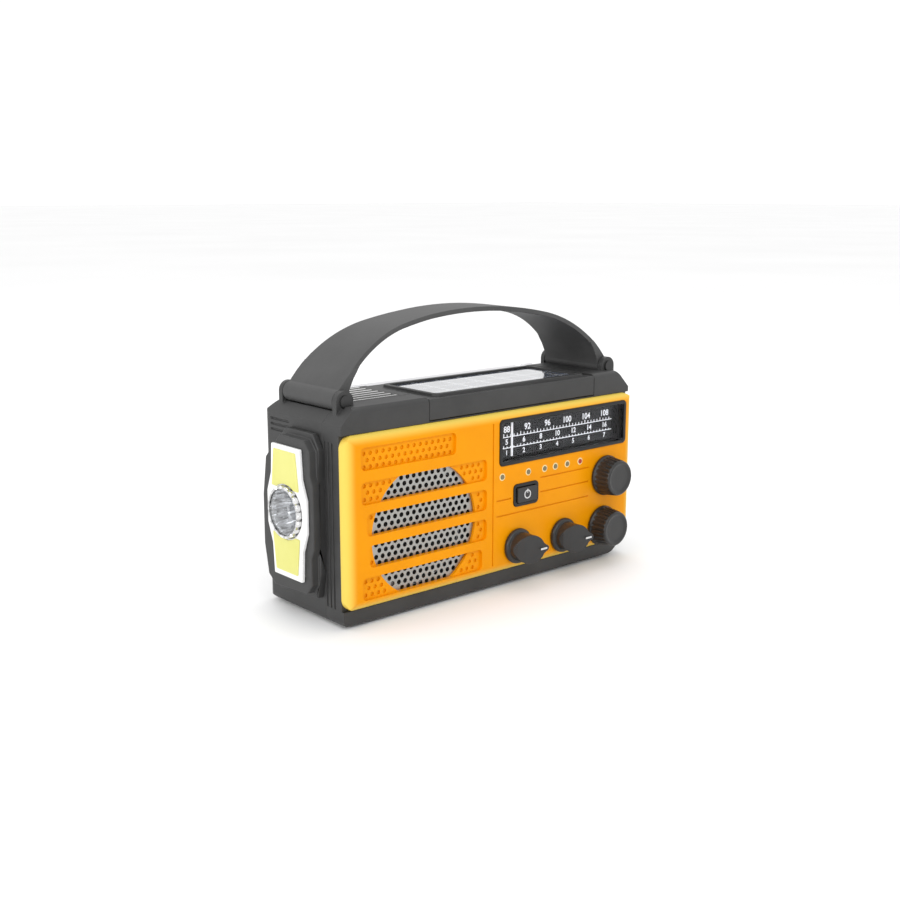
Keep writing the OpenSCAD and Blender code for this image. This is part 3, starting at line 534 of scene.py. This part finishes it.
def clear_plastic(name, colour, rough, ior=1.46):
    """Clear or tinted plastic with a slightly uneven polish."""
    material, tree, shader = new_material(name)
    cloud = add(tree, "TexNoise", Scale=60.0, Detail=3.0)
    link(tree, coordinates(tree), cloud.inputs["Vector"])
    spread = add(tree, "MapRange")
    link(tree, cloud.outputs["Fac"], spread.inputs["Value"])
    spread.inputs["To Min"].default_value = rough * 0.6
    spread.inputs["To Max"].default_value = rough * 1.5
    link(tree, spread.outputs["Result"], shader.inputs["Roughness"])
    shader.inputs["Base Color"].default_value = colour
    shader.inputs["Transmission Weight"].default_value = 1.0
    shader.inputs["IOR"].default_value = ior
    return material


LENS = clear_plastic("Clear lens", (0.95, 0.97, 1.0, 1), 0.03)
SMOKED = clear_plastic("Smoked window", (0.86, 0.87, 0.9, 1), 0.03, ior=1.17)

SHEETS = {
    "front_panel": ORANGE, "front_case": CASE_BLACK, "rear_case": CASE_BLACK,
    "speaker_mesh": MESH_METAL, "speaker_basket": STEEL, "speaker_cone": PAPER,
    "dial_bezel": GLOSS_BLACK, "dial_lens": SMOKED, "dial_scale": GLOSS_BLACK,
    "dial_needle": PRINT_WHITE, "dial_rail": STEEL, "dial_cord": CORD,
    "tuning_knob": KNOB_BLACK, "volume_knob": KNOB_BLACK, "band_knob": KNOB_BLACK,
    "light_knob": KNOB_BLACK, "tuning_shaft": POT_METAL, "volume_shaft": POT_METAL,
    "band_shaft": POT_METAL, "light_shaft": POT_METAL, "tuning_drum": NATURAL,
    "tuning_capacitor": NATURAL, "rotary_controls": POT_METAL,
    "button_bezel": GLOSS_BLACK, "push_button": KNOB_BLACK, "button_switch": STEEL,
    "indicator_leds": LAMPS, "main_board": BOARD_GREEN, "ferrite_rod": FERRITE,
    "torch_housing": CASE_BLACK, "torch_plate": WHITE_PLASTIC, "cob_strips": PHOSPHOR,
    "torch_lens": LENS, "torch_reflector": REFLECTOR, "torch_led": BOARD_GREEN,
    "solar_lid": CASE_BLACK, "solar_panel": SOLAR, "lamp_lens": LENS,
    "hinge_pins": DARK_STEEL, "handle_strap": STRAP_GREY, "battery_door": CASE_BLACK,
    "spare_cells": STEEL, "lithium_cell": SLEEVE, "crank_shaft": STEEL,
    "crank_gear": NATURAL, "idler_gear": NATURAL, "dynamo": POT_METAL,
    "dynamo_pinion": BRASS, "gearbox_plate": CASE_BLACK, "crank_arm": CASE_BLACK,
    "crank_spindle": STEEL, "crank_grip": SOFT_BLACK, "aerial_knuckle": CHROME,
    "aerial_tube": CHROME, "aerial_middle": CHROME, "aerial_tip": CHROME,
    "port_cover": SOFT_BLACK, "usb_ports": STEEL, "screws": STEEL,
    "rubber_feet": SOFT_BLACK,
}
for node_name, material in SHEETS.items():
    paint(nodes[node_name], material)


# ---- mouldings with their small rounded edges ------------------------------------
MOULDINGS = [
    ("front_case", "front_shell", "case", "black_plastic", 0.18),
    ("rear_case", "rear_shell", "case", "black_plastic", 0.3),
    ("torch_housing", "torch_surround", "case", "black_plastic", 0.5),
    ("torch_plate", "torch_face", "case", "white_plastic", 0.35),
    ("cob_strips", "light_strips", "case", "phosphor", 0.15),
    ("dial_bezel", "dial_frame", "case", "gloss_black", 0.3),
    ("button_bezel", "button_frame", "case", "gloss_black", 0.2),
    ("push_button", "button_cap", "button", "black_plastic", 0.2),
    ("solar_lid", "lid_shell", "lid", "black_plastic", 0.35),
    ("handle_strap", "strap_moulding", "case", "grey_strap", 0.3),
    ("band_knob", "band_pointer", "band_selector", "black_plastic", 0.3),
    ("light_knob", "light_pointer", "light_selector", "black_plastic", 0.3),
    ("battery_door", "door_panel", "door", "black_plastic", 0.3),
    ("crank_arm", "crank_lever", "crank", "black_plastic", 0.3),
]
for node_name, piece_name, body_name, slot_name, width in MOULDINGS:
    softened(node_name, piece_name, SHEETS[node_name], body_name, slot_name, width)


# ---- fluted knobs -------------------------------------------------------------------
def fluted_knob(node, name, body):
    """A tapered knob with soft flutes, a rounded rim and a dished face."""
    low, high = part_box(node)
    centre = (low + high) / 2
    radius = (high.x - low.x) / 2
    depth = high.y - low.y
    flutes = 24
    flute_depth = 0.055     # as a share of the knob's radius
    # radius and distance from the back as shares of the knob's own, and how deep the flutes are
    rings = ((0.42, 0.0, 0), (0.98, 0.0, 0), (1.0, 0.02, 0), (1.0, 0.11, 0), (0.985, 0.135, 0),
             (0.955, 0.16, 0), (0.95, 0.20, 0.6), (0.94, 0.26, 1), (0.925, 0.45, 1), (0.905, 0.65, 1),
             (0.885, 0.80, 1), (0.875, 0.86, 0.7), (0.855, 0.91, 0.2), (0.83, 0.945, 0),
             (0.79, 0.965, 0), (0.74, 0.965, 0), (0.69, 0.94, 0), (0.64, 0.91, 0), (0.56, 0.90, 0),
             (0.3, 0.905, 0), (0.02, 0.905, 0))
    deselect()
    bpy.ops.mesh.primitive_circle_add(vertices=144, radius=radius * rings[0][0],
                                      location=(centre.x, high.y, centre.z),
                                      rotation=(math.radians(90), 0, 0))
    knob = bpy.context.object
    settle(knob)
    bpy.ops.object.mode_set(mode="EDIT")
    bpy.ops.mesh.select_all(action="SELECT")
    for (r0, d0, _), (r1, d1, _) in zip(rings, rings[1:]):
        bpy.ops.mesh.extrude_edges_move()
        bpy.ops.transform.translate(value=(0, -(d1 - d0) * depth, 0))
        bpy.ops.transform.resize(value=(r1 / r0, 1, r1 / r0), center_override=(centre.x, 0, centre.z))
    bpy.ops.mesh.merge(type="CENTER")
    bpy.ops.object.mode_set(mode="OBJECT")
    for vertex in knob.data.vertices:
        across, up = vertex.co.x - centre.x, vertex.co.z - centre.z
        size = math.hypot(across, up)
        share = (high.y - vertex.co.y) / depth
        flute = 0.0
        for _, d, amount in rings:
            if abs(share - d) < 0.002:
                flute = amount if size > radius * 0.8 else 0.0
        turn = math.atan2(up, across)
        cut = flute * flute_depth * radius * (0.5 + 0.5 * math.cos(turn * flutes)) ** 2
        if size > 0:
            vertex.co.x -= across / size * cut
            vertex.co.z -= up / size * cut
    make_active(knob)
    bpy.ops.object.mode_set(mode="EDIT")
    bpy.ops.mesh.select_all(action="SELECT")
    bpy.ops.mesh.remove_doubles(threshold=0.00001)
    bpy.ops.mesh.normals_make_consistent(inside=False)
    bpy.ops.object.mode_set(mode="OBJECT")
    smooth(knob, 50)
    return finish_piece(knob, name, KNOB_BLACK, body, "black_plastic", node)


fluted_knob("tuning_knob", "tuning_grip", "tuning")
fluted_knob("volume_knob", "volume_grip", "volume")


# ---- dial figures, marks, rims and ribs -------------------------------------------
def dial_figures():
    """Generic numbers and ticks in three rows behind the dial window."""
    scale_low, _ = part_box("dial_scale")
    y = scale_low.y - PRINT_DEPTH
    parts = []
    # height of a row, size of its figures, the figures, place of the first, spacing
    rows = ((61.0, 3.7, ("88", "92", "96", "100", "104", "108"), 86.5, 12.2),
            (55.6, 3.2, ("5", "6", "8", "10", "12", "14", "16"), 86.5, 10.2),
            (50.9, 2.9, ("1", "2", "3", "4", "5", "6", "7"), 86.5, 10.2))
    for z, size, figures, start, step in rows:
        for k, figure in enumerate(figures):
            place = spot(start + k * step, 0, z)
            place.y = y
            parts.append(printed(figure, size, place))
    for z, height in ((57.9, 1.0), (53.2, 0.6)):
        for k in range(34):
            tall = height * (1.5 if k % 5 == 0 else 1.0)
            low = spot(84.5 + k * 2.0, 0, z)
            high = spot(84.9 + k * 2.0, 0, z + tall)
            low.y, high.y = y - PRINT_DEPTH, y
            parts.append(bar(low, high, 0.1))
    for z in (57.6, 52.9):
        low, high = spot(83.5, 0, z), spot(152.5, 0, z + 0.35)
        low.y, high.y = y - PRINT_DEPTH, y
        parts.append(bar(low, high, 0.1))
    return finish_piece(joined(parts), "dial_figures", PRINT_WHITE, "case", "white_plastic")


def lamp_rims():
    """Pale rims round the six small lamps."""
    rims = [band(spot(x, 0.02, 42), 1.3, 0.28) for x in LAMP_PLACES]
    return finish_piece(joined(rims), "lamp_rims", PALE_RING, "case", "white_plastic")


def vent_ribs():
    """Satin ribs and cross bars that stand in the top vents."""
    top = 79.5
    ribs = [bar(spot(14.1, 17.1 + k * 4.2, top - 0.88), spot(38.9, 18.4 + k * 4.2, top - 0.02))
            for k in range(7)]
    ribs += [bar(spot(x, 17.02 + k * 4.2, top - 0.89), spot(x + 0.8, 18.48 + k * 4.2, top - 0.3))
             for k in range(7) for x in (17.2, 20.8, 24.4, 28.0, 31.6, 35.2)]
    return finish_piece(joined(ribs), "vent_ribs", RIB_METAL, "case", "mesh_metal")


def button_mark():
    """A raised ring and stroke on the button's face."""
    low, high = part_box("push_button")
    face = Vector(((low.x + high.x) / 2, low.y, (low.z + high.z) / 2))
    ring = band(face + Vector((0, 0.00002, 0)), 1.7, 0.28)
    stroke = bar(face + Vector((-0.00022, -0.0001, 0.0006)), face + Vector((0.00022, 0.0002, 0.0024)))
    return finish_piece(joined([ring, stroke]), "button_mark", PALE_GREY, "button", "white_plastic")


def pointer_mark(node, name, body):
    """A pale line in the tip of a pointer knob."""
    low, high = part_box(node)
    middle_height = (low.z + high.z) / 2
    near = Vector((high.x - 0.0048, low.y - MARK_DEPTH, middle_height - 0.0004))
    far = Vector((high.x - 0.0012, low.y + 0.0003, middle_height + 0.0004))
    return finish_piece(bar(near, far), name, PALE_GREY, body, "white_plastic")


dial_figures()
lamp_rims()
vent_ribs()
button_mark()
pointer_mark("band_knob", "band_mark", "band_selector")
pointer_mark("light_knob", "light_mark", "light_selector")


# ---- floor, light and camera ---------------------------------------------------
def softbox(name, place, size, power):
    """A square lamp that faces the radio."""
    lamp = bpy.data.lights.new(name, "AREA")
    lamp.energy = power
    lamp.size = size
    holder = bpy.data.objects.new(name, lamp)
    bpy.context.scene.collection.objects.link(holder)
    holder.location = place
    holder.rotation_euler = (Vector((0, 0, 0.05)) - Vector(place)).to_track_quat("-Z", "Y").to_euler()


def studio():
    """A pale floor, white surroundings and three soft lamps."""
    deselect()
    floor_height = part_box("rubber_feet")[0].z - 0.0001
    bpy.ops.mesh.primitive_plane_add(size=30.0, location=(0, 0, floor_height))
    floor = bpy.context.object
    floor.name = "studio_floor"
    material, tree, shader = new_material("Pale floor")
    cloud = add(tree, "TexNoise", Scale=2.0, Detail=2.0)
    link(tree, coordinates(tree), cloud.inputs["Vector"])
    link(tree, ramp(tree, cloud.outputs["Fac"], [(0.3, grey(0.9)), (0.7, grey(0.93))]),
         shader.inputs["Base Color"])
    shader.inputs["Roughness"].default_value = 0.8
    paint(floor, material)
    world = bpy.data.worlds.new("Studio")
    bpy.context.scene.world = world
    world.use_nodes = True
    surroundings = world.node_tree.nodes["Background"]
    surroundings.inputs["Color"].default_value = (1, 1, 1, 1)
    surroundings.inputs["Strength"].default_value = 1.06
    softbox("key", (-0.4, -0.9, 0.8), 0.5, 2.5)
    softbox("side", (-1.0, -0.2, 0.35), 0.4, 2.4)
    softbox("top", (0.2, 0.3, 1.2), 0.8, 3)


def camera():
    """A view of the front, the left end and the top."""
    lens = bpy.data.cameras.new("view")
    lens.lens = 48.6
    lens.sensor_width = 36.0
    lens.clip_start = 0.01
    holder = bpy.data.objects.new("view", lens)
    bpy.context.scene.collection.objects.link(holder)
    holder.location = PANEL_LOW + Vector((-0.2618, -0.3604, 0.1591))
    forward = Vector((0.64192, 0.73813, -0.20761))
    holder.rotation_euler = forward.to_track_quat("-Z", "Y").to_euler()
    bpy.context.scene.camera = holder


studio()
camera()
bpy.context.scene.view_settings.view_transform = "Standard"
